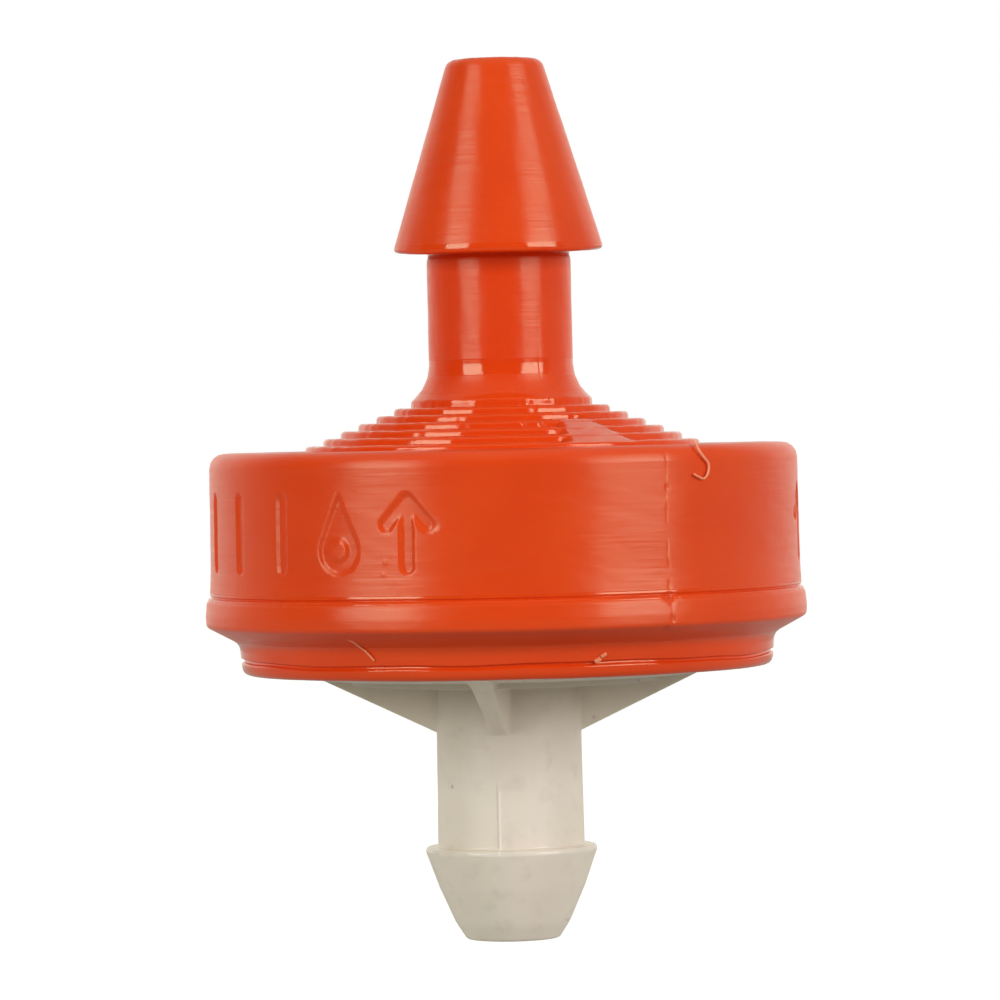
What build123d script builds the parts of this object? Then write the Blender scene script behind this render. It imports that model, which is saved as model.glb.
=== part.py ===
from build123d import *
import math
import os

# Pressure-compensating drip emitter: a round cap with an outlet barb, closed from below
# by a plate with an inlet barb. A maze disc and a loose diaphragm sit between them.
# Millimetres. The origin is at the shoulder of the inlet barb, on the common axis.
# +Z points towards the outlet. The four ribs of the plate lie on X and Y.

# Water passages
inlet_bore_r = 0.85
outlet_bore_r = 0.85

# Inlet barb and neck
inlet_tip_z = -2.63
inlet_tip_r = 1.31
inlet_crest_r = 2.42
inlet_crest_z = -0.16
inlet_neck_r = 2.07
inlet_flank_corners = [(1.62, -2.15), (2.06, -1.15)]
inlet_flank_rounding = 1.5

# Plate of the base
pad_r = 4.40
pad_z = 4.62
plate_z = 4.80
plate_boss_r = 6.38
plate_boss_edge_z = 4.85
plate_rim_r = 6.86
plate_rim_z = 5.30
chamber_floor_z = 5.95
chamber_r = 5.75
disc_seat_z = 6.62

# Ribs between the inlet neck and the plate
rib_count = 4
rib_start_r = 1.70
rib_end_r = 5.45
rib_low_z = 3.215
rib_end_z = 4.83
rib_free_thickness = 0.38
rib_root_thickness = 0.66
rib_root_z = 4.95
rib_overlap = 0.34

# Cap: lower band, flange and drum
cap_bottom_z = 4.99
lip_r = 6.45
cavity_r = 6.95
ceiling_z = 10.00
band_low_r = 7.46
band_top_r = 7.56
lip_line_z = 5.38
lip_line_depth = 0.05
band_top_z = 5.88
flange_r = 8.50
flange_low_z = 6.37
flange_edge_z = 6.98
flange_top_z = 7.14
drum_low_r = 8.35
drum_top_r = 8.30
drum_top_z = 11.24
dish_z = 11.18

# Cap: stepped cone between the top face and the neck
cone_ring_count = 7
cone_outer_r = 5.57
cone_inner_r = 2.55
cone_low_z = 11.38
cone_high_z = 12.60
ring_edge_radius = 0.04

# Cap: flared foot, neck and outlet barb
flare_radius = 1.20
flare_corner_z = 13.02
outlet_neck_r = 2.04
barb_under_z = 16.79
barb_crest_r = 2.96
barb_crest_z = 17.04
outlet_tip_r = 1.34
outlet_tip_z = 22.20

# Outlet seat under the ceiling of the cap
seat_r = 1.60
seat_z = 9.55
metering_width = 0.30
metering_depth = 0.12
metering_angle = 45

# Raised marks round the drum: arrows along the flow, a drop and tally bars
mark_low_z = 7.94
mark_high_z = 10.10
mark_height = mark_high_z - mark_low_z
mark_stroke = 0.36
mark_relief = 0.06
mark_sink = 0.20
mark_pitch_angle = 14.3
front_mark_angle = -100.5
side_mark_angle = 0.0
arrow_head_width = 1.20
arrow_head_height = 0.85
drop_r = 0.64
mark_reach = 2.0

# Maze disc
disc_r = 6.85
disc_under_z = 6.90
disc_under_r = 4.90
pocket_r = 4.90
pocket_z = 8.20
ledge_r = 3.90
ledge_depth = 0.30
pressure_hole_r = 1.00
maze_inner_r = 5.30
maze_outer_r = 6.15
maze_floor_z = 9.25
maze_gap_angle = 24.0
tooth_count = 34
tooth_thickness = 0.26
tooth_reach = 0.52
feed_hole_r = 0.28
exit_width = 0.50
collector_inner_r = 5.50
collector_outer_r = 6.10
collector_depth = 0.35
filter_slot_count = 30
filter_slot_width = 0.34
filter_slot_depth = 0.25
port_angle = 3.5

# Diaphragm
diaphragm_r = 4.70
diaphragm_under_z = 8.22
diaphragm_thickness = 0.98
diaphragm_edge_radius = 0.15

# How far a cutter runs past the face that it opens
cutter_margin = 0.10


def turned(corners):
    """Solid of revolution from corners given as (radius, height, rounding)."""
    points = [(radius, height) for radius, height, rounding in corners]
    roundings = [rounding for radius, height, rounding in corners]
    with BuildPart() as solid:
        with BuildSketch(Plane.XZ):
            with BuildLine():
                FilletPolyline(*points, radius=roundings, close=True)
            make_face()
        revolve(axis=Axis.Z)
    return solid.part


def ring(inner_r, outer_r, low_z, high_z):
    """Plain ring between two radii and two heights."""
    height = high_z - low_z
    outer = Cylinder(outer_r, height, align=(Align.CENTER, Align.CENTER, Align.MIN))
    inner = Cylinder(inner_r, height, align=(Align.CENTER, Align.CENTER, Align.MIN))
    return Pos(0, 0, low_z) * (outer - inner)


def radial_bar(inner_r, outer_r, width, low_z, high_z, angle):
    """Straight bar that runs outwards along one direction."""
    bar = Box(outer_r - inner_r, width, high_z - low_z, align=(Align.MIN, Align.CENTER, Align.MIN))
    return Rot(0, 0, angle) * Pos(inner_r, 0, low_z) * bar


def cone_outline():
    """Corners of the stepped cone, from its smallest ring out to the top face."""
    ring_width = (cone_outer_r - cone_inner_r) / (cone_ring_count - 1)
    ring_rise = (cone_high_z - cone_low_z) / (cone_ring_count - 1)
    corners = []
    for index in range(cone_ring_count):
        radius = cone_inner_r + index * ring_width
        tread_z = cone_high_z - index * ring_rise
        floor_z = max(tread_z - ring_rise, dish_z)
        corners.append((radius, tread_z, ring_edge_radius))
        corners.append((radius, floor_z, ring_edge_radius))
    return corners


def cap_shell():
    """Cap without its marks and metering groove."""
    band_middle_r = (band_low_r + band_top_r) / 2
    corners = [
        (outlet_bore_r, outlet_tip_z, 0.10),
        (outlet_tip_r, outlet_tip_z, 0.28),
        (barb_crest_r, barb_crest_z, 0.06),
        (barb_crest_r, barb_under_z, 0.04),
        (outlet_neck_r, barb_under_z, 0.08),
        (outlet_neck_r, flare_corner_z, flare_radius),
    ]
    corners += cone_outline()
    corners += [
        (drum_top_r - 0.60, drum_top_z, 1.00),
        (drum_top_r, drum_top_z, 0.36),
        (drum_low_r, flange_top_z, 0.03),
        (flange_r, flange_edge_z, 0.12),
        (flange_r, flange_low_z, 0.15),
        (band_top_r, band_top_z, 0.25),
        (band_middle_r, lip_line_z + 0.06, 0.04),
        (band_middle_r - lip_line_depth, lip_line_z, 0.03),
        (band_middle_r, lip_line_z - 0.05, 0.04),
        (band_low_r, cap_bottom_z, 0.22),
        (lip_r, cap_bottom_z, 0.08),
        (lip_r, plate_rim_z, 0.08),
        (cavity_r, plate_rim_z, 0),
        (cavity_r, ceiling_z, 0.15),
        (seat_r, ceiling_z, 0.10),
        (seat_r, seat_z, 0.12),
        (outlet_bore_r, seat_z, 0.12),
    ]
    return turned(corners)


def arrow_outline():
    """Upward arrow: one stem under an open head."""
    half_height = mark_height / 2
    head_low = half_height - arrow_head_height
    half_head = arrow_head_width / 2
    stem = Pos(0, -mark_stroke / 2) * Rectangle(mark_stroke, mark_height - mark_stroke)
    left_side = Line((-half_head, head_low), (0, half_height - mark_stroke / 2))
    right_side = Line((half_head, head_low), (0, half_height - mark_stroke / 2))
    left_stroke = trace(left_side, line_width=mark_stroke)
    right_stroke = trace(right_side, line_width=mark_stroke)
    return stem + left_stroke + right_stroke


def bar_outline():
    """Upright tally bar."""
    return Rectangle(mark_stroke, mark_height)


def drop_outline():
    """Ring in the shape of a water drop with its point up."""
    centre_y = drop_r - mark_height / 2
    tip_y = mark_height / 2
    reach = tip_y - centre_y
    touch_angle = math.degrees(math.acos(drop_r / reach))
    touch_x = drop_r * math.sin(math.radians(touch_angle))
    touch_y = centre_y + drop_r * math.cos(math.radians(touch_angle))
    body = Pos(0, centre_y) * Circle(drop_r)
    point = make_face(Polyline((-touch_x, touch_y), (0, tip_y), (touch_x, touch_y), close=True))
    inner_r = drop_r - mark_stroke
    hollow = Pos(0, centre_y) * Circle(inner_r)
    return body + point - hollow


def raised_mark(outline, angle):
    """One outline raised on the drum wall at an angle round the axis."""
    middle_z = (mark_low_z + mark_high_z) / 2
    outward = Vector(math.cos(math.radians(angle)), math.sin(math.radians(angle)), 0)
    sideways = Vector(-math.sin(math.radians(angle)), math.cos(math.radians(angle)), 0)
    start = outward * (drum_top_r - mark_reach) + Vector(0, 0, middle_z)
    face_plane = Plane(origin=start, x_dir=sideways, z_dir=outward)
    prism = extrude(face_plane * outline, amount=2 * mark_reach)
    skin = ring(drum_top_r - mark_sink, drum_low_r + mark_relief, mark_low_z, mark_high_z)
    return prism & skin


def outlet_cap():
    """Orange cap: barb, stepped cone, drum, flange, band, cavity and outlet seat."""
    cap = cap_shell()
    front_marks = [arrow_outline(), drop_outline(), bar_outline(), bar_outline(), bar_outline()]
    for index, outline in enumerate(front_marks):
        cap += raised_mark(outline, front_mark_angle - index * mark_pitch_angle)
    side_marks = [arrow_outline(), bar_outline(), bar_outline()]
    for index, outline in enumerate(side_marks):
        cap += raised_mark(outline, side_mark_angle + index * mark_pitch_angle)
    groove_low_z = seat_z - 0.10
    groove_top_z = seat_z + metering_depth
    groove = radial_bar(0, seat_r + 0.20, metering_width, groove_low_z, groove_top_z, metering_angle)
    return cap - groove


def rib(angle):
    """One tapered rib: thin at its free edge, thick where it meets the plate."""
    half_free = rib_free_thickness / 2
    half_root = rib_root_thickness / 2
    cross_section = make_face(
        Polyline(
            (-half_free, rib_low_z - rib_overlap),
            (half_free, rib_low_z - rib_overlap),
            (half_root, rib_root_z),
            (-half_root, rib_root_z),
            close=True,
        )
    )
    start_plane = Plane(origin=(rib_start_r, 0, 0), x_dir=(0, 1, 0), z_dir=(1, 0, 0))
    bar = extrude(start_plane * cross_section, amount=rib_end_r)
    side_outline = make_face(
        Polyline(
            (rib_start_r, rib_low_z - rib_overlap / 2),
            (inlet_neck_r, rib_low_z),
            (rib_end_r, rib_end_z),
            (rib_end_r, rib_root_z),
            (rib_start_r, rib_root_z),
            close=True,
        )
    )
    side = extrude(Plane.XZ * side_outline, amount=rib_root_thickness, both=True)
    return Rot(0, 0, angle) * (bar & side)


def inlet_base():
    """Grey base: inlet barb, neck, ribs, plate and the ring that carries the maze disc."""
    corners = [
        (inlet_bore_r, inlet_tip_z, 0.08),
        (inlet_tip_r, inlet_tip_z, 0.13),
    ]
    corners += [(radius, height, inlet_flank_rounding) for radius, height in inlet_flank_corners]
    corners += [
        (inlet_crest_r, inlet_crest_z, 0.04),
        (inlet_crest_r, 0, 0.03),
        (inlet_neck_r, 0, 0.05),
        (inlet_neck_r, pad_z, 0.10),
        (pad_r, pad_z, 0.05),
        (pad_r, plate_z, 0.04),
        (plate_boss_r, plate_boss_edge_z, 0.05),
        (plate_boss_r, plate_rim_z, 0.04),
        (plate_rim_r, plate_rim_z, 0.06),
        (plate_rim_r, disc_seat_z, 0.05),
        (chamber_r, disc_seat_z, 0.05),
        (chamber_r, chamber_floor_z, 0.15),
        (inlet_bore_r, chamber_floor_z, 0.12),
    ]
    base = turned(corners)
    for index in range(rib_count):
        base += rib(index * 360 / rib_count)
    return base


def disc_blank():
    """Maze disc without its channels, slots and holes."""
    corners = [
        (pressure_hole_r, disc_under_z, 0.06),
        (disc_under_r, disc_under_z, 0.06),
        (disc_under_r, disc_seat_z, 0.04),
        (disc_r, disc_seat_z, 0.10),
        (disc_r, ceiling_z, 0.22),
        (pocket_r, ceiling_z, 0.05),
        (pocket_r, pocket_z, 0.05),
        (ledge_r, pocket_z, 0.05),
        (ledge_r, pocket_z - ledge_depth, 0.05),
        (pressure_hole_r, pocket_z - ledge_depth, 0.06),
    ]
    return turned(corners)


def maze_gap():
    """Wedge that stays solid between the two ends of the maze."""
    reach = 2 * maze_outer_r
    half_gap = math.radians(maze_gap_angle / 2)
    far_x = reach * math.cos(half_gap)
    far_y = reach * math.sin(half_gap)
    wedge = make_face(Polyline((0, 0), (far_x, -far_y), (far_x, far_y), close=True))
    return Pos(0, 0, maze_floor_z) * extrude(wedge, amount=ceiling_z)


def maze_channel():
    """Open ring channel in the top of the disc, with teeth left standing in it."""
    top_z = ceiling_z + cutter_margin
    channel = ring(maze_inner_r, maze_outer_r, maze_floor_z, top_z) - maze_gap()
    step = (360 - maze_gap_angle) / (tooth_count + 1)
    for index in range(tooth_count):
        angle = maze_gap_angle / 2 + (index + 1) * step
        if index % 2:
            start_r = maze_inner_r - cutter_margin
            end_r = maze_inner_r + tooth_reach
        else:
            start_r = maze_outer_r - tooth_reach
            end_r = maze_outer_r + cutter_margin
        channel -= radial_bar(start_r, end_r, tooth_thickness, maze_floor_z, top_z, angle)
    return channel


def filter_slots():
    """Comb of radial slots and the collector ring behind it, in the underside of the disc."""
    low_z = disc_seat_z - cutter_margin
    cutter = ring(collector_inner_r, collector_outer_r, low_z, disc_seat_z + collector_depth)
    slot_start_r = disc_under_r - cutter_margin
    slot_end_r = collector_inner_r + cutter_margin
    slot_top_z = disc_seat_z + filter_slot_depth
    for index in range(filter_slot_count):
        angle = (index + 0.5) * 360 / filter_slot_count
        cutter += radial_bar(slot_start_r, slot_end_r, filter_slot_width, low_z, slot_top_z, angle)
    return cutter


def labyrinth_disc():
    """Maze disc: filter slots and collector below, maze and diaphragm pocket above."""
    channel_r = (maze_inner_r + maze_outer_r) / 2
    end_angle = maze_gap_angle / 2 + port_angle
    feed = Cylinder(feed_hole_r, ceiling_z, align=(Align.CENTER, Align.CENTER, Align.MIN))
    feed_hole = Rot(0, 0, end_angle) * Pos(channel_r, 0, disc_seat_z - cutter_margin) * feed
    exit_start_r = pocket_r - cutter_margin
    exit_top_z = ceiling_z + cutter_margin
    exit_slot = radial_bar(exit_start_r, channel_r, exit_width, maze_floor_z, exit_top_z, -end_angle)
    return disc_blank() - maze_channel() - filter_slots() - feed_hole - exit_slot


def diaphragm():
    """Loose silicone disc between the pocket ledge and the outlet seat."""
    top_z = diaphragm_under_z + diaphragm_thickness
    return turned(
        [
            (0, diaphragm_under_z, 0),
            (diaphragm_r, diaphragm_under_z, diaphragm_edge_radius),
            (diaphragm_r, top_z, diaphragm_edge_radius),
            (0, top_z, 0),
        ]
    )


os.makedirs("parts", exist_ok=True)
export_step(outlet_cap(), "parts/outlet_cap.step")
export_step(inlet_base(), "parts/inlet_base.step")
export_step(labyrinth_disc(), "parts/labyrinth_disc.step")
export_step(diaphragm(), "parts/diaphragm.step")
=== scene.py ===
import logging
import math
from dataclasses import dataclass, field
from enum import Enum
from typing import Optional, Sequence, Union

import bpy
import numpy as np
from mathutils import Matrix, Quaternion, Vector


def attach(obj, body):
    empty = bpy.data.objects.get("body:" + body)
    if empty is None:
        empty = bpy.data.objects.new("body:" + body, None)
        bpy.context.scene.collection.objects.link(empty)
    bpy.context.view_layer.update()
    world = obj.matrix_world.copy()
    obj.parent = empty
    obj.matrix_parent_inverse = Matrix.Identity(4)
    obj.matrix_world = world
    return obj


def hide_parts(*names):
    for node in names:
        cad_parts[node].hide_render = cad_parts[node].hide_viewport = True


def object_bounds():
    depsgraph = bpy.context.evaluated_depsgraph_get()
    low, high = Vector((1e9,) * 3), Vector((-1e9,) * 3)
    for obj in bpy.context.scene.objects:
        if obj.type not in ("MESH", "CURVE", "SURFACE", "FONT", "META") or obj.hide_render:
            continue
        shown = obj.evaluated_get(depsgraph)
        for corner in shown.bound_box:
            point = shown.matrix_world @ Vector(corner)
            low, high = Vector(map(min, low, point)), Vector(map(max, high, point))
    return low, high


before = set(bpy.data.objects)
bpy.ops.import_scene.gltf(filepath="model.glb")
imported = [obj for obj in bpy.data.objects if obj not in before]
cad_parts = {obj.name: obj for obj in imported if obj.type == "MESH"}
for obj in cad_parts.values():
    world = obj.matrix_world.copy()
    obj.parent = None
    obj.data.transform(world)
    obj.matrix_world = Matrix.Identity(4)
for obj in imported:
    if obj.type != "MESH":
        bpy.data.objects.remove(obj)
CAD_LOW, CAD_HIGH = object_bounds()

MM = 0.001
HOUSING = "housing"

Number = Union[int, float]
Linkable = Union["Value", Number, Sequence[float]]
Triple = tuple[float, float, float]
Ramp = tuple[float, float]

log = logging.getLogger("drip_emitter")


class Slot(Enum):
    """Material slots of the record that the pieces take their finish from."""

    CAP = "cap_plastic"
    BASE = "base_plastic"
    INSERT = "insert_plastic"
    SILICONE = "silicone"


class MarkKind(Enum):
    """Generic raised marks round the drum."""

    ARROW = "arrow"
    DROP = "drop"
    BAR = "bar"


# ---------------------------------------------------------------------------
# Shader maths
# ---------------------------------------------------------------------------


class Value:
    """A shader socket that takes part in Python arithmetic."""

    def __init__(self, graph: "Graph", socket: Optional[bpy.types.NodeSocket]) -> None:
        """Wraps one output socket of a graph; an output node has none."""
        self.graph = graph
        self.socket = socket

    def _math(self, operation: str, first: Linkable, second: Linkable, clamp: bool = False) -> "Value":
        """Result of one Math node."""
        settings = {"operation": operation, "use_clamp": clamp}
        return self.graph.node("ShaderNodeMath", settings, {0: first, 1: second})

    def __add__(self, other: Linkable) -> "Value":
        """Sum."""
        return self._math("ADD", self, other)

    __radd__ = __add__

    def __sub__(self, other: Linkable) -> "Value":
        """Difference."""
        return self._math("SUBTRACT", self, other)

    def __rsub__(self, other: Linkable) -> "Value":
        """Difference from a plain number."""
        return self._math("SUBTRACT", other, self)

    def __mul__(self, other: Linkable) -> "Value":
        """Product."""
        return self._math("MULTIPLY", self, other)

    __rmul__ = __mul__

    def clamp(self) -> "Value":
        """Held between 0 and 1."""
        return self._math("ADD", self, 0.0, clamp=True)

    def smooth(self, low: float, high: float) -> "Value":
        """Smooth rise from 0 at low to 1 at high.

        Args:
            low: value where the rise starts.
            high: value where it ends.

        Returns:
            The eased share.
        """
        settings = {"interpolation_type": "SMOOTHSTEP"}
        inputs = {"Value": self, "From Min": low, "From Max": high, "To Min": 0.0, "To Max": 1.0}
        return self.graph.node("ShaderNodeMapRange", settings, inputs)


@dataclass(frozen=True)
class Noise:
    """Soft noise around 0.5: features in each millimetre, octaves, share of each in the next."""

    pitch: Union[float, Triple]
    detail: float = 2.0
    rough: float = 0.5


@dataclass(frozen=True)
class Specks:
    """Sparse round specks: cells in each millimetre, radius in cells, share of cells with one."""

    pitch: float
    radius: float
    share: float


class Graph:
    """Node tree of one material or of the world."""

    def __init__(self, tree: bpy.types.NodeTree) -> None:
        """Starts from an empty tree."""
        self.tree = tree
        tree.nodes.clear()

    def node(self, kind: str, settings: dict, inputs: dict, output: Union[int, str] = 0) -> Value:
        """Adds one node.

        Args:
            kind: the node's type.
            settings: attributes that are set before any socket.
            inputs: socket name or number to a value or a link.
            output: the output socket that is wanted.

        Returns:
            The wanted output.
        """
        made = self.tree.nodes.new(kind)
        for name, setting in settings.items():
            setattr(made, name, setting)
        for name, value in inputs.items():
            socket = made.inputs[name]
            if isinstance(value, Value):
                self.tree.links.new(value.socket, socket)
            else:
                socket.default_value = value
        return Value(self, made.outputs[output] if made.outputs else None)

    def place(self, output: str = "Object") -> Value:
        """Place on the object in metres, or another coordinate."""
        return self.node("ShaderNodeTexCoord", {}, {}, output)

    def scaled(self, vector: Value, factors: Sequence[float]) -> Value:
        """Vector times one factor for each axis."""
        settings = {"operation": "MULTIPLY"}
        return self.node("ShaderNodeVectorMath", settings, {0: vector, 1: tuple(factors)})

    def along(self, vector: Value, direction: Sequence[float]) -> Value:
        """How far a vector reaches along a direction."""
        settings = {"operation": "DOT_PRODUCT"}
        return self.node("ShaderNodeVectorMath", settings, {0: vector, 1: tuple(direction)}, "Value")

    def axis_value(self, vector: Value, axis: str) -> Value:
        """One coordinate of a vector."""
        return self.node("ShaderNodeSeparateXYZ", {}, {0: vector}, axis)

    def noise(self, place: Value, kind: Noise) -> Value:
        """Adds a noise.

        Args:
            place: where it is read.
            kind: its pitch, the same or one for each axis, and its octaves.

        Returns:
            The noise value.
        """
        pitch = kind.pitch
        if isinstance(pitch, tuple):
            place, pitch = self.scaled(place, pitch), 1.0
        inputs = {"Vector": place, "Scale": pitch, "Detail": kind.detail, "Roughness": kind.rough}
        return self.node("ShaderNodeTexNoise", {"noise_dimensions": "3D"}, inputs)

    def between(self, value: Value, low: float, high: float, soft: float) -> Value:
        """1 between two limits and 0 outside them, with an eased edge of the soft width at each."""
        return value.smooth(low - soft, low) * value.smooth(high + soft, high)

    def specks(self, place: Value, kind: Specks) -> Value:
        """Adds sparse specks.

        Args:
            place: where they are read.
            kind: their pitch, size and number.

        Returns:
            1 inside a speck and 0 outside.
        """
        cells = {"Vector": place, "Scale": kind.pitch, "Randomness": 1.0}
        near = self.node("ShaderNodeTexVoronoi", {"feature": "F1"}, cells, "Distance")
        tint = self.node("ShaderNodeTexVoronoi", {"feature": "F1"}, cells, "Color")
        chosen = self.axis_value(tint, "X").smooth(kind.share, kind.share - 0.02)
        return near.smooth(kind.radius, kind.radius * 0.6) * chosen

    def mix(self, share: Linkable, first: Linkable, second: Linkable) -> Value:
        """Blend of two colours, from the first at share 0 to the second at share 1."""
        inputs = {0: share, 6: _colour(first), 7: _colour(second)}
        return self.node("ShaderNodeMix", {"data_type": "RGBA"}, inputs, 2)

    def bump(self, height_mm: Value) -> Value:
        """Normal from a height in millimetres."""
        inputs = {"Height": height_mm, "Strength": 1.0, "Distance": MM}
        return self.node("ShaderNodeBump", {}, inputs)


def _colour(value: Linkable) -> Linkable:
    """Gives a plain colour its fourth number.

    Args:
        value: a colour of three numbers, or a link.

    Returns:
        The colour with full cover, or the link as it is.
    """
    if isinstance(value, Value):
        return value
    return (*value, 1.0)


# ---------------------------------------------------------------------------
# Finishes
# ---------------------------------------------------------------------------


class Finish:
    """A finish that is worked out from the place on the object, in millimetres."""

    name: str

    def sockets(self, graph: Graph, place: Value) -> dict[str, Linkable]:
        """Sockets of the surface shader; each finish has its own."""
        raise NotImplementedError

    def material(self) -> bpy.types.Material:
        """Builds the finish.

        Returns:
            The material.
        """
        material = bpy.data.materials.new(self.name)
        material.use_nodes = True
        graph = Graph(material.node_tree)
        inputs = self.sockets(graph, graph.scaled(graph.place(), (1 / MM, 1 / MM, 1 / MM)))
        surface = graph.node("ShaderNodeBsdfPrincipled", {"subsurface_method": "RANDOM_WALK"}, inputs)
        graph.node("ShaderNodeOutputMaterial", {}, {"Surface": surface})
        return material


@dataclass(frozen=True)
class OrangePlastic(Finish):
    """Satin moulded orange plastic: turned mould lines blur it along the axis, polished zones don't.

    Zones and ramps along the axis are heights in millimetres, and so is every relief.
    """

    name: str = "orange_plastic"
    colour: Triple = (0.795, 0.0625, 0.0052)
    deep_colour: Triple = (0.765, 0.0540, 0.0044)
    sheen_colour: tuple[float, float, float, float] = (0.75, 1.0, 0.72, 1.0)
    speck_colour: Triple = (0.88, 0.24, 0.10)
    turned_roughness: float = 0.33
    polished_roughness: float = 0.135
    flow_roughness: float = 0.16
    anisotropy: float = 0.70
    polished_zones: tuple[Ramp, ...] = (
        (4.90, 5.92),
        (7.10, 7.32),
        (11.27, 12.80),
        (13.30, 13.72),
        (16.60, 16.92),
    )
    soft_edge: float = 0.03
    cloud: Noise = Noise(0.35, 3.0)
    cloud_ramp: Ramp = (0.35, 0.70)
    specks: Specks = Specks(0.9, 0.035, 0.10)
    speck_show: float = 0.8
    speck_height: float = 0.010
    lines: Noise = Noise((0.28, 0.28, 7.0), 2.0, 0.55)
    line_height: float = 0.0110
    fine_lines: Noise = Noise((0.8, 0.8, 19.0), 1.0)
    fine_line_height: float = 0.0033
    patches: Noise = Noise((0.5, 0.5, 0.8))
    patch_ramp: Ramp = (0.42, 0.62)
    line_floor: float = 0.3
    flow: Noise = Noise((0.6, 0.6, 5.0))
    grain: Noise = Noise(16.0, 2.0, 0.6)
    grain_height: float = 0.0006
    seam_angle: float = -50.0
    seam_side: Ramp = (0.5, 1.0)
    seam_half_width: float = 0.012
    seam_wander: Noise = Noise((0.0, 0.0, 1.1))
    seam_wander_width: float = 0.16
    seam_breaks: Noise = Noise((0.0, 0.0, 1.6), 1.0)
    seam_break_ramp: Ramp = (0.46, 0.60)
    seam_start: Ramp = (6.3, 6.9)
    seam_end: Ramp = (14.9, 14.3)
    cone_zone: Ramp = (11.2, 13.1)
    cone_edge: float = 0.05
    seam_show: float = 0.55

    def _turned(self, graph: Graph, height: Value) -> Value:
        """1 where the mould was turned and 0 in the polished zones."""
        zones = (graph.between(height, low, high, self.soft_edge) for low, high in self.polished_zones)
        return 1 - sum(zones).clamp()

    def _seam(self, graph: Graph, place: Value, height: Value) -> Value:
        """Pale broken line painted where the halves of the mould meet, partly the paler thin flash and
        partly painted highlight; the cone has none.

        Args:
            graph: the material's graph.
            place: place on the object.
            height: height along the axis.

        Returns:
            1 on the line and 0 beside it.
        """
        turn = math.radians(self.seam_angle)
        wander = (graph.noise(place, self.seam_wander) - 0.5) * self.seam_wander_width
        across = graph.along(place, (-math.sin(turn), math.cos(turn), 0.0)) + wander
        outwards = graph.along(place, (math.cos(turn), math.sin(turn), 0.0))
        half = self.seam_half_width
        line = graph.between(across, -half, half, self.soft_edge) * outwards.smooth(*self.seam_side)
        line = line * graph.noise(place, self.seam_breaks).smooth(*self.seam_break_ramp)
        line = line * (1 - graph.between(height, *self.cone_zone, self.cone_edge))
        return line * height.smooth(*self.seam_start) * height.smooth(*self.seam_end)

    def _relief(self, graph: Graph, place: Value, turned: Value, specks: Value) -> Value:
        """Turned lines in uneven patches, grain and specks.

        Args:
            graph: the material's graph.
            place: place on the object.
            turned: where the mould was turned.
            specks: where the specks are.

        Returns:
            Height of the relief.
        """
        lines = graph.noise(place, self.lines) * self.line_height
        lines = (lines + graph.noise(place, self.fine_lines) * self.fine_line_height) * turned
        patches = graph.noise(place, self.patches).smooth(*self.patch_ramp)
        lines = lines * (patches * (1 - self.line_floor) + self.line_floor)
        return lines + graph.noise(place, self.grain) * self.grain_height + specks * self.speck_height

    def sockets(self, graph: Graph, place: Value) -> dict[str, Linkable]:
        """Sockets of the surface shader.

        Args:
            graph: the material's graph.
            place: place on the object.

        Returns:
            Socket names with their values.
        """
        height = graph.axis_value(place, "Z")
        turned = self._turned(graph, height)
        cloud = graph.noise(place, self.cloud).smooth(*self.cloud_ramp)
        specks = graph.specks(place, self.specks)
        tint = graph.mix(cloud, self.colour, self.deep_colour)
        tint = graph.mix(specks * self.speck_show, tint, self.speck_colour)
        # seam line painted paler: partly the thin flash's own colour, partly a painted highlight
        tint = graph.mix(self._seam(graph, place, height) * self.seam_show, tint, self.speck_colour)
        satin = turned * (self.turned_roughness - self.polished_roughness) + self.polished_roughness
        flow = (graph.noise(place, self.flow) - 0.5) * self.flow_roughness
        return {
            "Base Color": tint,
            "Roughness": satin + flow * turned,
            "Normal": graph.bump(self._relief(graph, place, turned, specks)),
            "IOR": 1.5,
            "Specular Tint": self.sheen_colour,
            "Anisotropic": self.anisotropy,
            "Anisotropic Rotation": 0.25,
            "Subsurface Weight": 0.10,
            "Subsurface Scale": 0.0007,
            "Subsurface Radius": (1.0, 0.30, 0.12),
        }


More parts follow.
